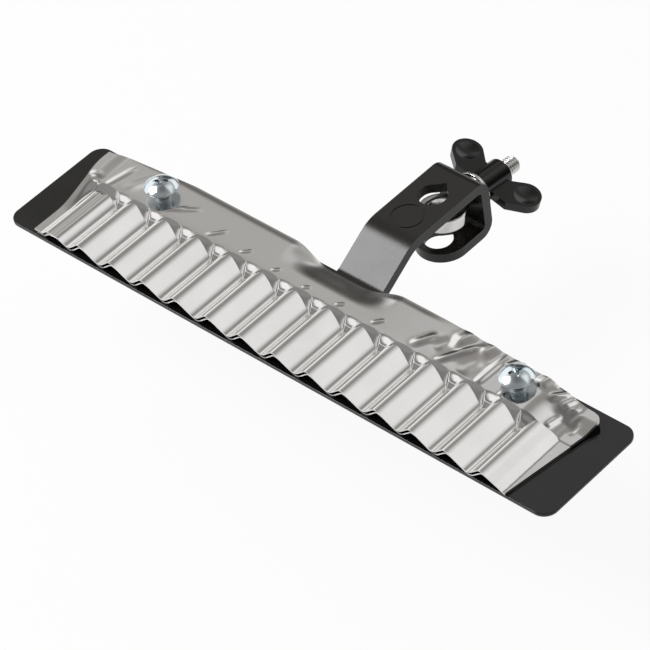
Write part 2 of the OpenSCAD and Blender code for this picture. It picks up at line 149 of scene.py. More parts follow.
quarter_round = [(BROKEN_EDGE * math.sin(a), BROKEN_EDGE * (1 - math.cos(a)))
                 for a in (math.radians(degrees) for degrees in range(0, 91, 15))]
levels = [(BROKEN_EDGE - out, up - PLATE_T) for out, up in quarter_round]
levels += [(BROKEN_EDGE - out, -up) for out, up in reversed(quarter_round)]
points = []
for inset, z in levels:
    for x, y in plate_outline(inset):
        points.append((x * MM, (PLATE_MID_Y + y) * MM, (PLATE_TOP + z) * MM))
faces = ring_faces(len(levels), len(points) // len(levels))
plate = make_piece("plate_lacquered", points, faces, black_lacquer, sharp=60)
plate.modifiers.new("flat_faces", "WEIGHTED_NORMAL").weight = 100
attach(plate, "frame")
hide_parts("base_plate")

# Strap and its rivets. Flat bar bent cold into a rise and a clamp loop, holes
# punched, then sprayed satin black. Two rivets hold it under the plate.

# Satin black paint gives the eye a soft, slightly brown grey where it faces the light,
# under a fine grit. Real grit is finer than this half millimetre, which still shows.
satin_black, tree, shader, place = start_material("satin_black_paint_on_steel", IOR=1.5)
grit = add(tree, "ShaderNodeTexNoise", {"Scale": 1000 / 0.5, "Detail": 3.0}, {"Vector": place})
cloud = add(tree, "ShaderNodeTexNoise", {"Scale": 1000 / 14, "Detail": 5.0, "Roughness": 0.6},
            {"Vector": place})
gloss = add(tree, "ShaderNodeMapRange", {"From Min": 0.3, "From Max": 0.7, "To Min": 0.24, "To Max": 0.28},
            {"Value": cloud.outputs["Fac"]})
tint = add(tree, "ShaderNodeMix", {"data_type": "RGBA", 6: linear("#121110"), 7: linear("#1E1B18")},
           {0: cloud.outputs["Fac"]})
bump = add(tree, "ShaderNodeBump", {"Strength": 0.05, "Distance": 0.00004}, {"Height": grit.outputs["Fac"]})
into_shader(tree, shader, Roughness=gloss.outputs["Result"], Base_Color=tint.outputs[2],
            Normal=bump.outputs["Normal"])


def eased(node, name, edge_mm, material, segments=3, angle=28):
    """A copy of a CAD node with its sharp edges rounded by edge_mm."""
    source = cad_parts[node]
    bm = bmesh.new()
    bm.from_mesh(source.data)
    bm.transform(source.matrix_world)
    bmesh.ops.remove_doubles(bm, verts=bm.verts, dist=2e-6)
    bmesh.ops.dissolve_limit(bm, angle_limit=math.radians(0.6), verts=bm.verts, edges=bm.edges)
    edges = [e for e in bm.edges if len(e.link_faces) == 2 and e.calc_face_angle(0) > math.radians(angle)]
    bmesh.ops.bevel(bm, geom=edges, offset=edge_mm * MM, segments=segments, profile=0.5, affect="EDGES",
                    clamp_overlap=True)
    mesh = bpy.data.meshes.new(name)
    bm.to_mesh(mesh)
    bm.free()
    mesh.shade_smooth()
    mesh.set_sharp_from_angle(angle=math.radians(40))
    mesh.materials.append(material)
    piece = new_object(name, mesh)
    piece.modifiers.new("flat_faces", "WEIGHTED_NORMAL").weight = 80
    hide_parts(node)
    return piece


strap = eased("mount_bracket", "strap_bent", 0.45, satin_black)
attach(strap, "frame")
rivets = eased("bracket_rivets", "strap_rivets", 0.25, satin_black)
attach(rivets, "frame")

# Crimped sheets. Half a millimetre of bright rolled steel, pressed between two
# crimping tools along the front and left flat behind, where the pressing has
# drawn wrinkles. Both are the same pressing and lie one in the other.

# Bright rolled steel gives the eye a near mirror that is drawn out along the rolling
# direction, smeared by handling, and duller on the left behind the crimps, where the
# scraper never polishes it.
bright_steel, tree, shader, place = start_material("bright_rolled_steel", Metallic=1.0)
rolled = add(tree, "ShaderNodeMapping", {"Scale": (1.0, 9.0, 9.0)}, {"Vector": place})
grain = add(tree, "ShaderNodeTexNoise", {"Scale": 1000 / 3.5, "Detail": 5.0, "Roughness": 0.6},
            {"Vector": rolled.outputs["Vector"]})
smear = add(tree, "ShaderNodeTexNoise", {"Scale": 1000 / 26, "Detail": 5.0, "Roughness": 0.62},
            {"Vector": place})
gloss = add(tree, "ShaderNodeMapRange", {"From Min": 0.3, "From Max": 0.75, "To Min": 0.09, "To Max": 0.16},
            {"Value": smear.outputs["Fac"]})
across = add(tree, "ShaderNodeSeparateXYZ", {}, {"Vector": place})
duller = add(tree, "ShaderNodeMapRange",
             {"From Min": -0.0745, "From Max": -0.070, "To Min": 0.0, "To Max": 0.09},
             {"Value": across.outputs["Y"]})
unworn = add(tree, "ShaderNodeMapRange", {"From Min": 0.03, "From Max": 0.06, "To Min": 1.0, "To Max": 0.2},
             {"Value": across.outputs["X"]})
duller = add(tree, "ShaderNodeMath", {"operation": "MULTIPLY"},
             {0: duller.outputs["Result"], 1: unworn.outputs["Result"]})
gloss = add(tree, "ShaderNodeMath", {"operation": "ADD"},
            {0: gloss.outputs["Result"], 1: duller.outputs[0]})
tint = add(tree, "ShaderNodeMix", {"data_type": "RGBA", 6: linear("#E8E7E6"), 7: linear("#D8D6D4")},
           {0: smear.outputs["Fac"]})
bump = add(tree, "ShaderNodeBump", {"Strength": 0.1, "Distance": 0.00003}, {"Height": grain.outputs["Fac"]})
into_shader(tree, shader, Roughness=gloss.outputs[0], Base_Color=tint.outputs[2],
            Normal=bump.outputs["Normal"])

PITCH, CRIMP_H, FIRST_CREST = 18.9, 4.7, -126.4
LAST_CREST = FIRST_CREST + 13 * PITCH
SHEET_T = 0.5
MARGIN_H = 5.75
LEFT_END, END_STRIP = -134.6, 11.8
OVER_PLATE = 0.3
# The upper sheet lies a little to the left of the lower one, towards the player, and
# above it, with this much air between them where they come closest
NEST_SHIFT, NEST_FORWARD, NEST_RISE, NEST_AIR = 1.0, 0.3, 1.35, 0.22
# Each crimp ends in a steep wall. Behind a long flank the wall meets the margin at the
# tongue's edge; behind a short one it meets a shelf that climbs on to the margin
WALL_SLOPE = 1.65
TONGUE_Y, TONGUE_CROWN, TONGUE_BAND = 6.3, 0.9, 0.3
SHELF_EDGE_Y, SHELF_TOP_Y, SHELF_DEPTH = 2.6, 6.9, 1.9
DENT_U, DENT_Y, DENT_DEPTH = 15.7, 3.5, 0.45
# Slope of a crimp by millimetres past its crest: a round crest, a long gentle flank,
# a round valley, and a short steep flank up to the next crest
SLOPE_PLACES = [0.0, 0.9, 3.8, 8.2, 10.3, 11.7, 14.2, 17.6, 18.9]
SLOPES = [0.12, -0.22, -0.52, -0.52, -0.3, 0.1, 0.93, 0.93, 0.12]
past_crest = np.linspace(0, PITCH, 1891)
slope_there = np.interp(past_crest, SLOPE_PLACES, SLOPES)
slope_there -= slope_there.mean()
crimp_there = np.concatenate([[0], np.cumsum((slope_there[1:] + slope_there[:-1]) / 2) * (PITCH / 1890)])
crimp_there = (crimp_there - crimp_there.min()) * CRIMP_H / (crimp_there.max() - crimp_there.min())


def ease(t):
    t = np.clip(t, 0, 1)
    return t * t * (3 - 2 * t)


def crimp(x):
    return np.interp(np.mod(x - FIRST_CREST, PITCH), past_crest, crimp_there)


# Wrinkles in the margin: x, y, half length, half width, height in mm, turn in degrees
WRINKLES = [
    (-122.4, 13.5, 7.5, 1.3, 0.4, 78), (-131.8, 8.5, 3.0, 1.5, 0.4, 30), (-112, 17, 8, 3.0, -0.35, 60),
    (-88.5, 12.0, 5.0, 0.9, 0.3, 48), (-84, 14.5, 6.0, 1.3, 0.3, 35), (-62.9, 11.4, 4.0, 1.0, 0.34, 48),
    (-44.6, 10.2, 2.4, 0.8, 0.3, 45), (-26.4, 9.2, 1.8, 0.8, 0.28, 42), (-8.7, 8.6, 1.6, 0.8, 0.28, 38),
    (10.0, 9.2, 1.9, 0.9, 0.3, 42), (29.8, 10.6, 2.6, 1.0, 0.4, 50), (52.6, 13.8, 5.5, 2.0, 0.7, 62),
    (69.0, 15.0, 9.0, 1.7, 0.8, 60), (66.0, 23.5, 5.0, 3.6, 1.1, 70), (78.5, 24.5, 4.0, 3.4, 0.9, 70),
    (86.6, 15.5, 9.5, 1.5, 0.8, 88), (91.5, 24.0, 3.5, 1.3, 0.5, 60), (77.0, 13.5, 5.5, 4.6, -0.6, 70),
    (60.7, 17.0, 5.0, 3.2, -0.5, 62), (98.6, 5.5, 5.0, 1.2, 0.4, 88), (108.5, 24.0, 3.5, 3.0, 0.9, 80),
    (115.6, 26.0, 2.4, 1.0, -0.6, 20), (118.0, 22.0, 4.5, 1.6, 0.8, 55), (122.8, 21.5, 3.5, 1.3, 0.7, 75),
    (126.2, 20.5, 2.6, 0.9, 0.5, 60), (123.0, 10.8, 4.0, 1.0, 0.6, 80), (129.5, 17.5, 2.8, 0.8, 0.35, 75),
    (131.5, 13.5, 3.5, 1.2, -0.3, 85)]


def wrinkles(x, y):
    z = 0 * x
    for cx, cy, length, width, height, turn in WRINKLES:
        a = math.radians(turn)
        along = (x - cx) * math.cos(a) + (y - cy) * math.sin(a)
        across = -(x - cx) * math.sin(a) + (y - cy) * math.cos(a)
        z = z + height * np.exp(-(along / length) ** 4 - (across / width) ** 2)
    return z


def dents(x, y, edge):
    """The dent that each valley leaves in the shelf behind it."""
    u = np.mod(x - FIRST_CREST, PITCH)
    deep = DENT_DEPTH * np.exp(-((u - DENT_U) / 2.2) ** 2 - ((y - DENT_Y) / 1.75) ** 2)
    return deep * ease((y - edge) / 1.1) * (x > FIRST_CREST) * (x < LAST_CREST)


def drop(at, y):
    """How far the margin comes down towards the plate at the right end, less at the rear."""
    return 5.2 * ease((at - 110) / 19) * (1 - 0.35 * ease((y - 12) / 9))


def crimped_height(x, dx):
    """The crimps alone. The first fades out at the left; the last flank runs down to a flat strip."""
    at = x + dx
    u = x - LAST_CREST
    rolled_out = np.maximum(0, crimp(x) - 2.2 * ease((FIRST_CREST + 6 - at) / 6))
    return np.where(u < 3.8, rolled_out, np.maximum(0, crimp(LAST_CREST + 3.8) - 0.43 * (u - 3.8)))


def crimp_end(x, dx):
    """Where the wall behind a crimp starts and ends, where the slope above it ends, and how high
    the wall ends. short is 1 behind a short flank, where the shelf is, and 0 elsewhere."""
    u = np.mod(x - FIRST_CREST, PITCH)
    past = np.where(u > 6, u, u + PITCH)
    short = ease((past - 11.4) / 2.2) * ease((PITCH + 0.6 - past) / 2.4)
    short = short * (x < LAST_CREST + 6) * ease((x - FIRST_CREST + 1.5) / 1.5)
    low = crimped_height(x, dx)
    tongue = TONGUE_Y + TONGUE_CROWN * np.clip(1 - ((u - 5.5) / 6) ** 2, 0, 1)
    top = tongue * (1 - short) + SHELF_TOP_Y * short
    edge = (tongue - TONGUE_BAND) * (1 - short) + SHELF_EDGE_Y * short
    edge_z = (MARGIN_H - 0.02) * (1 - short) + (MARGIN_H - SHELF_DEPTH) * short - drop(x + dx, 7)
    foot = edge - np.abs(edge_z - low) / WALL_SLOPE - 0.05
    return foot, edge, top, edge_z


def sheet_height(x, y, dx):
    """Middle of the sheet above its valleys. The crimps move with the sheet; bends at its ends stay put."""
    at = x + dx
    low = crimped_height(x, dx)
    foot, edge, top, edge_z = crimp_end(x, dx)
    left = ease((FIRST_CREST - 0.5 - at) / 6.5)
    # The rear is pressed down over the strap, and its edge curls down a little
    dip = 4 * ease((y - 12) / 15) * ease((31 - np.abs(at + 1)) / 20)
    curl = 0.6 * ease((y - 23.5) / 5) ** 1.5 * ease((60 - at) / 20)
    margin = MARGIN_H + left - dip - drop(at, y) - curl
    wall = low + (edge_z - low) * np.clip((y - foot) / (edge - foot), 0, 1)
    unclimbed = (1 - np.clip((y - edge) / (top - edge), 0, 1)) ** 1.3
    slope = margin - left - (margin - left - edge_z) * unclimbed
    z = np.where(y < edge, wall, np.where(y < top, slope, margin))
    climb = ease((y + 14) / 26.5)
    z = z * (1 - left) + (low * (1 - climb) + margin * climb) * left
    pressed = 0.5 * ease((x - LAST_CREST - 8) / 4) * (dx != 0)
    return z - dents(x, y, edge) + ease((y - 5.5) / 3) * wrinkles(at, y) - pressed


def sheet_rear(x):
    left_end = 0.1 * np.clip(-90 - x, 0, None) + 2 * ease((-x - 126) / 8)
    right_end = 0.037 * np.clip(x - 42, 0, None) + 0.4 * ease((x - 108) / 16)
    right_corner = 4 * (np.clip(x - 134, 0, None) / 4.4) ** 2
    over_strap = 3.4 * ease((31 - np.abs(x + 1)) / 24)
    return 28.4 - left_end - right_end - right_corner - over_strap


def sheet_right(y):
    return LAST_CREST + END_STRIP + 7.3 * np.clip((y + 29) / 52, 0, 1)


def sheet_front(x):
    return -28 - 1.2 * ease((x - 60) / 68)


def under_sheet(x, y, dx):
    """The lower sheet: the same pressing, held clear of the one that lies on it."""
    def upper(px, py):
        return sheet_height(px + NEST_SHIFT, py + NEST_FORWARD, -NEST_SHIFT) + NEST_RISE
    e = 0.05
    gx = (upper(x + e, y) - upper(x - e, y)) / (2 * e)
    gy = (upper(x, y + e) - upper(x, y - e)) / (2 * e)
    room = upper(x, y) - (SHEET_T + NEST_AIR) * np.sqrt(1 + gx * gx + gy * gy)
    return np.minimum(sheet_height(x, y, dx), room)


def cut_away(piece, cutter, own_overlaps=False):
    """Cuts the body or bodies in a bmesh out of a piece."""
    tool_mesh = bpy.data.meshes.new("cutter")
    cutter.to_mesh(tool_mesh)
    cutter.free()
    tool = new_object("cutter", tool_mesh)
    cut = piece.modifiers.new("cut", "BOOLEAN")
    cut.operation, cut.solver, cut.object, cut.use_self = "DIFFERENCE", "EXACT", tool, own_overlaps
    bpy.context.view_layer.objects.active = piece
    bpy.ops.object.modifier_apply(modifier="cut")
    bpy.data.objects.remove(tool)


SCREW_SPOTS = [(-100.0, -63.5), (100.0, -63.5)]
HOLE_R = 4


def crimped_sheet(name, height_of, shift, forward, rise):
    # Columns follow the crimps. Rows run 0 to 1 along the crimps to the wall's foot,
    # to 2 up the wall, to 3 up the slope above it, and to 4 across the margin
    columns = np.concatenate([np.linspace(LEFT_END, FIRST_CREST, 16)[:-1],
                              np.arange(FIRST_CREST, LAST_CREST - 0.01, PITCH / 34),
                              np.linspace(LAST_CREST, LAST_CREST + END_STRIP, 26)])
    rows = np.concatenate([np.linspace(0, 0.94, 12), 1 + np.array([0, 0.06, 0.35, 0.65, 0.85]),
                           2 + np.array([0, 0.04, 0.12, 0.3, 0.5, 0.7, 0.88, 0.96]),
                           3 + np.linspace(0, 1, 62) ** 1.15])
    c, r = np.meshgrid(columns, rows, indexing="ij")
    band = np.minimum(r // 1, 3)
    front = sheet_front(c)
    x = c
    for _ in range(3):
        foot, edge, top, edge_z = crimp_end(x, shift)
        parts = [front, foot, edge, top, sheet_rear(x)]
        y = sum(np.where(band == k, parts[k] + (r - k) * (parts[k + 1] - parts[k]), 0) for k in range(4))
        past = (c - LAST_CREST) / END_STRIP
        x = np.where(c > LAST_CREST, LAST_CREST + past * (sheet_right(y) - shift - LAST_CREST), c)
    z = height_of(x, y, shift)
    e = 0.02
    gx = (height_of(x + e, y, shift) - height_of(x - e, y, shift)) / (2 * e)
    gy_front = (z - height_of(x, y - e, shift)) / e
    gy_behind = (height_of(x, y + e, shift) - z) / e
    x = np.where(c < FIRST_CREST, FIRST_CREST + (c - FIRST_CREST) * (1 + 0.22 * ease((y - 4) / 14)), x)
    # At a corner the two faces' offsets meet on the mitre
    front_n, behind_n = (np.stack([-gx, -gy, np.ones_like(gx)], -1) for gy in (gy_front, gy_behind))
    front_n /= np.linalg.norm(front_n, axis=-1, keepdims=True)
    behind_n /= np.linalg.norm(behind_n, axis=-1, keepdims=True)
    normal = (front_n + behind_n) / (1 + np.sum(front_n * behind_n, -1, keepdims=True))
    mid = np.stack([x + shift, y + PLATE_MID_Y - forward,
                    z + PLATE_TOP + OVER_PLATE + SHEET_T / 2 + rise], -1)
    low, high = mid - normal * SHEET_T / 2, mid + normal * SHEET_T / 2
    points = np.concatenate([low.reshape(-1, 3), high.reshape(-1, 3)]) * MM
    n = c.size
    index = np.arange(n).reshape(c.shape)
    a, b = index[:-1, :-1].ravel(), index[1:, :-1].ravel()
    d, f = index[1:, 1:].ravel(), index[:-1, 1:].ravel()
    faces = np.stack([a, f, d, b], -1).tolist() + (np.stack([a, b, d, f], -1) + n).tolist()
    rim = np.concatenate([index[:, 0], index[-1, 1:], index[-2::-1, -1], index[0, -2:0:-1]])
    ahead = np.roll(rim, -1)
    faces += np.stack([rim, ahead, ahead + n, rim + n], -1).tolist()
    sheet = make_piece(name, points.tolist(), faces, bright_steel, sharp=38)
    for screw_x, screw_y in SCREW_SPOTS:
        drill = bmesh.new()
        bmesh.ops.create_cone(drill, cap_ends=True, segments=48, radius1=HOLE_R * MM, radius2=HOLE_R * MM,
                              depth=0.03, matrix=Matrix.Translation((screw_x * MM, screw_y * MM, 0.01)))
        cut_away(sheet, drill)
    return sheet


lower_sheet = crimped_sheet("sheet_lower", under_sheet, 0.0, 0.0, 0.0)
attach(lower_sheet, "lower_sheet")
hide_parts("lower_ribbon")
upper_sheet = crimped_sheet("sheet_upper", sheet_height, -NEST_SHIFT, NEST_FORWARD, NEST_RISE)
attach(upper_sheet, "upper_sheet")
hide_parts("upper_ribbon")

# Screws. Quarter inch machine screws with a low domed head and a cross recess,
# cold headed, rolled thread, blue zinc plated. They stop the sheets' lift.

# Blue zinc plate gives the eye a clean, cool silver with a little fog over it.
zinc_plate, tree, shader, place = start_material("blue_zinc_plate", Metallic=1.0)
fog = add(tree, "ShaderNodeTexNoise", {"Scale": 1000 / 3, "Detail": 4.0}, {"Vector": place})
gloss = add(tree, "ShaderNodeMapRange", {"From Min": 0.3, "From Max": 0.7, "To Min": 0.12, "To Max": 0.2},
            {"Value": fog.outputs["Fac"]})
tint = add(tree, "ShaderNodeMix", {"data_type": "RGBA", 6: linear("#E9EFF2"), 7: linear("#CBD6DC")},
           {0: fog.outputs["Fac"]})
bump = add(tree, "ShaderNodeBump", {"Strength": 0.08, "Distance": 0.00003}, {"Height": fog.outputs["Fac"]})
into_shader(tree, shader, Roughness=gloss.outputs["Result"], Base_Color=tint.outputs[2],
            Normal=bump.outputs["Normal"])


def turned(profile, segments=64):
    """Points and faces of a body turned about Z from (radius, height) pairs, closed at both ends."""
    points = []
    for r, z in profile:
        for i in range(segments):
            a = 2 * math.pi * i / segments
            points.append((r * math.cos(a), r * math.sin(a), z))
    return points, ring_faces(len(profile), segments)


def thread(outer_r, depth, pitch, z0, z1, segments=40, per_turn=9):
    """A screw thread as one closed body about Z: its radius follows one helix, right-handed."""
    steps = int((z1 - z0) / pitch * per_turn)
    points = []
    for k in range(steps + 1):
        z = z0 + (z1 - z0) * k / steps
        taper = min(1, (z1 - z) / (0.9 * pitch))
        for i in range(segments):
            a = 2 * math.pi * i / segments
            phase = (z / pitch - i / segments) % 1
            tooth = min(1, max(0, 1.25 - abs(phase - 0.5) * 3.1))
            r = outer_r - depth * (1 - tooth * max(0, taper)) - 0.25 * depth * (1 - max(0, taper))
            points.append((r * math.cos(a), r * math.sin(a), z))
    return points, ring_faces(steps + 1, segments)


SEAT_Z = PLATE_TOP + 11.8
HEAD_R, HEAD_H = 7.9, 3.48
SHANK_R, SHANK_L, THREAD_DEPTH, THREAD_PITCH = 3.175, 22.0, 0.6, 1.27
CROSS_TURNS = (38, 62)
cap_r = (HEAD_R ** 2 + HEAD_H ** 2) / (2 * HEAD_H)
head_profile = [(3.0, 0.0), (7.2, 0.0), (7.55, 0.05), (7.68, 0.2), (7.7, 0.34)]
widest = math.asin(7.62 / cap_r)
for k in range(22):
    a = widest * (1 - k / 21.5)
    head_profile.append((cap_r * math.sin(a), HEAD_H - cap_r + cap_r * math.cos(a)))


def cross_cutter(height):
    """A cross recess tool: two tapered blades and a blunt point, into a head of that height."""
    bm = bmesh.new()
    for turn in (0, 90):
        ring = []
        for half, w, z in ((1.6, 0.6, height - 3.1), (4.0, 0.8, height + 0.6)):
            corners = ((-half, -w), (half, -w), (half, w), (-half, w))
            ring.append([bm.verts.new((x, y, z)) for x, y in corners])
        for i in range(4):
            j = (i + 1) % 4
            bm.faces.new((ring[0][i], ring[0][j], ring[1][j], ring[1][i]))
        bm.faces.new(list(reversed(ring[0])))
        bm.faces.new(ring[1])
        bmesh.ops.rotate(bm, verts=ring[0] + ring[1], cent=(0, 0, 0),
                         matrix=Matrix.Rotation(math.radians(turn), 3, "Z"))
    bmesh.ops.create_cone(bm, cap_ends=True, segments=16, radius1=0.9, radius2=1.5, depth=3.7,
                          matrix=Matrix.Translation((0, 0, height - 1.3)))
    return bm


for spot, (screw_x, screw_y) in enumerate(SCREW_SPOTS):
    turn = Matrix.Rotation(math.radians(CROSS_TURNS[spot]), 4, "Z")
    seat = Matrix.Translation((screw_x * MM, screw_y * MM, SEAT_Z * MM)) @ turn @ Matrix.Scale(MM, 4)
    points, faces = turned(head_profile)
    head = make_piece(f"screw_head_{spot}", points, faces, zinc_plate, sharp=45)
    cut_away(head, cross_cutter(HEAD_H), own_overlaps=True)
    head.data.transform(seat)
    points, faces = thread(SHANK_R, THREAD_DEPTH, THREAD_PITCH, -0.2 - SHANK_L, 0.2)
    # The thread tapers off at its upper end, so it is turned over: its tip is below
    points = [(x, y, -SHANK_L - z) for x, y, z in points]
    shank = make_piece(f"screw_thread_{spot}", points, faces, zinc_plate, sharp=60)
    shank.data.transform(seat)
    for piece in (head, shank):
        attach(piece, "frame")
        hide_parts("ribbon_screws")

# Nuts and washers of the screws. Thin nuts lock them on top of the plate; flat
# washers and lock nuts with nylon rings hold them below. All blue zinc plated.
for node, name, edge in (("jam_nuts", "nuts_thin", 0.35), ("plate_washers", "washers_plate", 0.2),
                         ("lock_nuts", "nuts_lock", 0.35)):
    piece = eased(node, name, edge, zinc_plate)
    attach(piece, "frame")

# Blue nylon gives the eye a dull, waxy blue with a faint unevenness.
nylon, tree, shader, place = start_material("blue_nylon", Roughness=0.45)
fleck = add(tree, "ShaderNodeTexNoise", {"Scale": 1000 / 1.2, "Detail": 3.0}, {"Vector": place})
tint = add(tree, "ShaderNodeMix", {"data_type": "RGBA", 6: linear("#3A6FB0"), 7: linear("#4C84C4")},
           {0: fleck.outputs["Fac"]})
into_shader(tree, shader, Base_Color=tint.outputs[2])
rings_nylon = eased("lock_nut_inserts", "nuts_nylon_rings", 0.15, nylon)
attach(rings_nylon, "frame")

# Eye bolt. Forged steel eye, blanked flat and tumbled bright, with a rolled
# 5/16 inch thread. Loose in the end wall, so it droops by seven degrees.
STUD_Y, STUD_Z, DROOP = 18.88, -0.67, 7.0
STUD_R, STUD_DEPTH, STUD_PITCH = 3.97, 0.86, 1.411
# Y runs along the bolt from the middle of the end wall, and a turned body's Z with it
along_stud = (Matrix.Translation((0, STUD_Y * MM, STUD_Z * MM))
              @ Matrix.Rotation(math.radians(-DROOP), 4, "X") @ Matrix.Scale(MM, 4))
turned_along_stud = along_stud @ Matrix.Rotation(math.radians(-90), 4, "X")

# Bright plate on tumbled steel gives the eye soft, nearly white reflections without
# a sharp image, and a slightly uneven skin.
bright_plate, tree, shader, place = start_material("bright_plated_steel", Metallic=1.0)
fog = add(tree, "ShaderNodeTexNoise", {"Scale": 1000 / 4, "Detail": 4.0}, {"Vector": place})
gloss = add(tree, "ShaderNodeMapRange", {"From Min": 0.3, "From Max": 0.7, "To Min": 0.14, "To Max": 0.22},
            {"Value": fog.outputs["Fac"]})
tint = add(tree, "ShaderNodeMix", {"data_type": "RGBA", 6: linear("#EDECEA"), 7: linear("#DAD8D5")},
           {0: fog.outputs["Fac"]})
bump = add(tree, "ShaderNodeBump", {"Strength": 0.15, "Distance": 0.00004}, {"Height": fog.outputs["Fac"]})
into_shader(tree, shader, Roughness=gloss.outputs["Result"], Base_Color=tint.outputs[2],
            Normal=bump.outputs["Normal"])

EYE_BACK, EYE_R, EYE_BORE, EYE_H, EYE_CORNER = 14.8, 10.6, 6.8, 6.35, 0.7
AROUND_EYE = 96
outer_r, inner_r, corner_z = EYE_R - EYE_CORNER, EYE_BORE + EYE_CORNER, EYE_H / 2 - EYE_CORNER
section = []
for r, z, start in ((outer_r, corner_z, 0), (inner_r, corner_z, 90), (inner_r, -corner_z, 180),
                    (outer_r, -corner_z, 270)):
    for a in (math.radians(degrees) for degrees in range(start, start + 91, 18)):
        section.append((r + EYE_CORNER * math.cos(a), z + EYE_CORNER * math.sin(a)))
m = len(section)
points, faces = [], []
for i in range(AROUND_EYE):
    a = 2 * math.pi * i / AROUND_EYE
    points += [(r * math.cos(a), r * math.sin(a) - EYE_BACK, z) for r, z in section]
    for k in range(m):
        j, l = (i + 1) % AROUND_EYE, (k + 1) % m
        faces.append((i * m + k, j * m + k, j * m + l, i * m + l))
eye = make_piece("eye_ring", points, faces, bright_plate, sharp=50)
eye.data.transform(along_stud)
points, faces = thread(STUD_R, STUD_DEPTH, STUD_PITCH, -2.4, 33.0, segments=48, per_turn=10)
stud = make_piece("eye_thread", points, faces, bright_plate, sharp=60)
stud.data.transform(turned_along_stud)
points, faces = turned([(3.0, -5.6), (3.9, -5.3), (3.95, -4.6), (3.95, -1.6), (3.4, -1.0)])
neck = make_piece("eye_neck", points, faces, bright_plate, sharp=40)
neck.data.transform(turned_along_stud)
for piece in (eye, stud, neck):
    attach(piece, "eye")
    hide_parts("eye_bolt")

# Washers behind the wing nut: a split spring washer, coiled from square wire,
# and a stamped flat washer, both bright plated. They ride on the nut.
flat = eased("flat_washer", "washer_flat", 0.25, bright_plate)
spring = eased("spring_washer", "washer_spring", 0.3, bright_plate)
for piece in (flat, spring):
    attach(piece, "nut")

# Wing nut. A zinc casting with a long hub and two paddle wings dished for
# finger and thumb, its edges soft from the mould, enamelled gloss black.

# Gloss black enamel on a casting gives the eye a deep black with slightly wavy
# highlights, from the mould's skin under it.
black_enamel, tree, shader, place = start_material("gloss_black_enamel_on_casting", IOR=1.5)
skin = add(tree, "ShaderNodeTexNoise", {"Scale": 1000 / 1.4, "Detail": 2.0}, {"Vector": place})
worn = add(tree, "ShaderNodeTexNoise", {"Scale": 1000 / 8, "Detail": 5.0}, {"Vector": place})
gloss = add(tree, "ShaderNodeMapRange", {"From Min": 0.3, "From Max": 0.7, "To Min": 0.1, "To Max": 0.18},
            {"Value": worn.outputs["Fac"]})
tint = add(tree, "ShaderNodeMix", {"data_type": "RGBA", 6: linear("#0B0B0C"), 7: linear("#151414")},
           {0: worn.outputs["Fac"]})
bump = add(tree, "ShaderNodeBump", {"Strength": 0.1, "Distance": 0.00005}, {"Height": skin.outputs["Fac"]})
into_shader(tree, shader, Roughness=gloss.outputs["Result"], Base_Color=tint.outputs[2],
            Normal=bump.outputs["Normal"])
wing_nut = eased("wing_nut", "wing_nut_cast", 0.5, black_enamel, segments=4, angle=20)
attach(wing_nut, "nut")

# Studio: a white table under the instrument, a dim room with soft white and grey
# panels around it, which the metal mirrors, and a soft key light at the front left.
TABLE_Z, TABLE_HALF = -0.06, 4
floor_mesh = bpy.data.meshes.new("table_top")
corners = [(-1, -1), (1, -1), (1, 1), (-1, 1)]
floor_mesh.from_pydata([(TABLE_HALF * i, TABLE_HALF * j, TABLE_Z) for i, j in corners], [], [(0, 1, 2, 3)])
table_top = new_object("table_top", floor_mesh)

# The white table gives the eye a plain white ground that keeps the soft shadow. It is
# half as bright in a mirror as to the camera.
white_table, tree, shader, place = start_material("white_table", Roughness=0.6,
                                                  Base_Color=linear("#F4F4F4"))
path = add(tree, "ShaderNodeLightPath", {}, {})
mirrored = add(tree, "ShaderNodeMath", {"operation": "MULTIPLY", 1: 0.5},
               {0: path.outputs["Is Glossy Ray"]})
seen = add(tree, "ShaderNodeMath", {"operation": "MAXIMUM"},
           {0: path.outputs["Is Camera Ray"], 1: mirrored.outputs[0]})
seen = add(tree, "ShaderNodeMath", {"operation": "MAXIMUM"},
           {0: seen.outputs[0], 1: path.outputs["Is Transmission Ray"]})
share = add(tree, "ShaderNodeMath", {"operation": "MULTIPLY", 1: 0.92}, {0: seen.outputs[0]})
shine = add(tree, "ShaderNodeEmission", {"Color": (1, 1, 1, 1), "Strength": 1.0}, {})
mix = add(tree, "ShaderNodeMixShader", {}, {0: share.outputs[0], 1: shader.outputs[0], 2: shine.outputs[0]})
tree.links.new(mix.outputs[0], tree.nodes["Material Output"].inputs["Surface"])
floor_mesh.materials.append(white_table)

world = bpy.data.worlds.new("studio")
bpy.context.scene.world = world
world.use_nodes = True
tree = world.node_tree
background = tree.nodes["Background"]
place = add(tree, "ShaderNodeTexCoord", {}, {})
parts = add(tree, "ShaderNodeSeparateXYZ", {}, {"Vector": place.outputs["Generated"]})

# The room by height: dark low down, grey above
sky = add(tree, "ShaderNodeValToRGB", {"stops": [
    (0.0, (0.2, 0.2, 0.2, 1)), (0.05, (0.07, 0.07, 0.065, 1)), (0.36, (0.06, 0.06, 0.055, 1)),
    (0.5, (0.24, 0.23, 0.22, 1)), (0.62, (0.43, 0.42, 0.4, 1)), (0.74, (0.45, 0.44, 0.42, 1)),
    (0.82, (0.33, 0.32, 0.3, 1)), (0.9, (0.3, 0.29, 0.28, 1)), (1.0, (0.16, 0.16, 0.16, 1))]},
    {"Fac": parts.outputs["Z"]}).outputs[0]
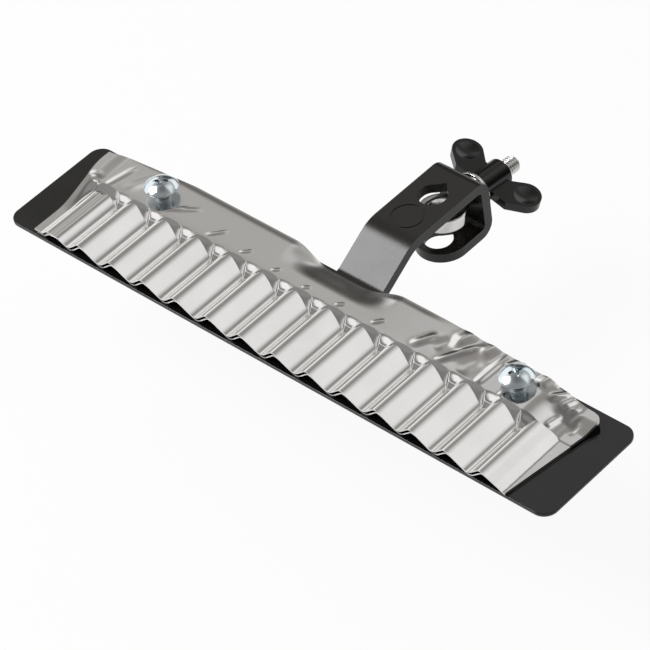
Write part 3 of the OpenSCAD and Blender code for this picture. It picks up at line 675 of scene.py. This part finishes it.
# Over it, in order: the grey front of the room, a white panel high at the front left,
# a grey one high at the back left, and white ones overhead at the back right, low on
# the left, and low at the back. Each has its brightness, and the limits of its
# direction: an axis, where the panel starts and where it is full
panels = [
    (0.3, [("Y", 0.0, -0.25), ("Z", 0.95, 0.85)]),
    (1.15, [("X", -0.82, -0.68), ("X", -0.26, -0.4), ("Y", -0.1, -0.22), ("Y", -0.68, -0.54),
            ("Z", 0.56, 0.68), ("Z", 0.94, 0.86)]),
    (0.68, [("X", -0.565, -0.5), ("X", -0.3, -0.4), ("Y", 0.3, 0.4), ("Z", 0.55, 0.62), ("Z", 0.8, 0.74)]),
    (1.0, [("X", -0.16, 0.26), ("Y", 0.22, 0.36), ("Z", 0.58, 0.76)]),
    (1.15, [("X", -0.61, -0.7), ("Z", 0.02, 0.1), ("Z", 0.74, 0.62), ("Y", -0.56, -0.44), ("Y", 0.62, 0.5)]),
    (1.1, [("X", -0.4, -0.28), ("X", 0.5, 0.4), ("Y", 0.6, 0.7), ("Z", 0.1, 0.2), ("Z", 0.6, 0.5)])]
for grey, limits in panels:
    edges = [add(tree, "ShaderNodeMapRange",
                 {"interpolation_type": "SMOOTHSTEP", "From Min": start, "From Max": full},
                 {"Value": parts.outputs[axis]}).outputs[0] for axis, start, full in limits]
    share = edges[0]
    for edge in edges[1:]:
        share = add(tree, "ShaderNodeMath", {"operation": "MULTIPLY"}, {0: share, 1: edge}).outputs[0]
    sky = add(tree, "ShaderNodeMix", {"data_type": "RGBA", 7: (grey, grey, grey, 1)},
              {6: sky, 0: share}).outputs[2]
# The camera itself sees plain white past the table
path = add(tree, "ShaderNodeLightPath", {}, {})
shown = add(tree, "ShaderNodeMix", {"data_type": "RGBA", 7: (1, 1, 1, 1)},
            {0: path.outputs["Is Camera Ray"], 6: sky})
tree.links.new(shown.outputs[2], background.inputs["Color"])
background.inputs["Strength"].default_value = 1.0

aim = Vector((0, -0.06, 0))
key_direction = Vector((-0.54, -0.37, 0.756)).normalized()
key = bpy.data.lights.new("key_light", "AREA")
key.shape, key.size, key.size_y, key.energy = "RECTANGLE", 0.6, 0.6, 10
key_lamp = new_object("key_light", key)
key_lamp.location = aim + key_direction * 1.3
key_lamp.rotation_mode = "QUATERNION"
key_lamp.rotation_quaternion = key_direction.to_track_quat("Z", "Y")
# The key is flagged off the bright sheets, which mirror the panels alone
flagged = bpy.data.collections.new("flagged_from_key")
for sheet in (lower_sheet, upper_sheet):
    flagged.objects.link(sheet)
for entry in flagged.collection_objects:
    entry.light_linking.link_state = "EXCLUDE"
key_lamp.light_linking.receiver_collection = flagged

# Camera: a long lens, 1.6 m away, high on the right and rolled a little
azimuth, elevation, roll = math.radians(48.374), math.radians(43.398), math.radians(-9.165)
DISTANCE, FOCAL_PIXELS, IMAGE_PIXELS = 1.630, 3924, 650
back = Vector((math.sin(azimuth) * math.cos(elevation), -math.cos(azimuth) * math.cos(elevation),
               math.sin(elevation)))
right = (-back).cross(Vector((0, 0, 1))).normalized()
up = right.cross(-back)
right, up = right * math.cos(roll) + up * math.sin(roll), up * math.cos(roll) - right * math.sin(roll)
camera = new_object("camera", bpy.data.cameras.new("camera"))
camera.data.sensor_width = 36
camera.data.lens = FOCAL_PIXELS / IMAGE_PIXELS * 36
camera.data.clip_start, camera.data.clip_end = 0.1, 20
camera.data.dof.use_dof = False
target = Vector((6.822, 1.64 + PLATE_MID_Y, PLATE_TOP)) * MM
facing = Matrix((right, up, back)).transposed().to_4x4()
camera.matrix_world = Matrix.Translation(target + back * DISTANCE) @ facing
bpy.context.scene.camera = camera
bpy.context.scene.view_settings.view_transform = "Standard"
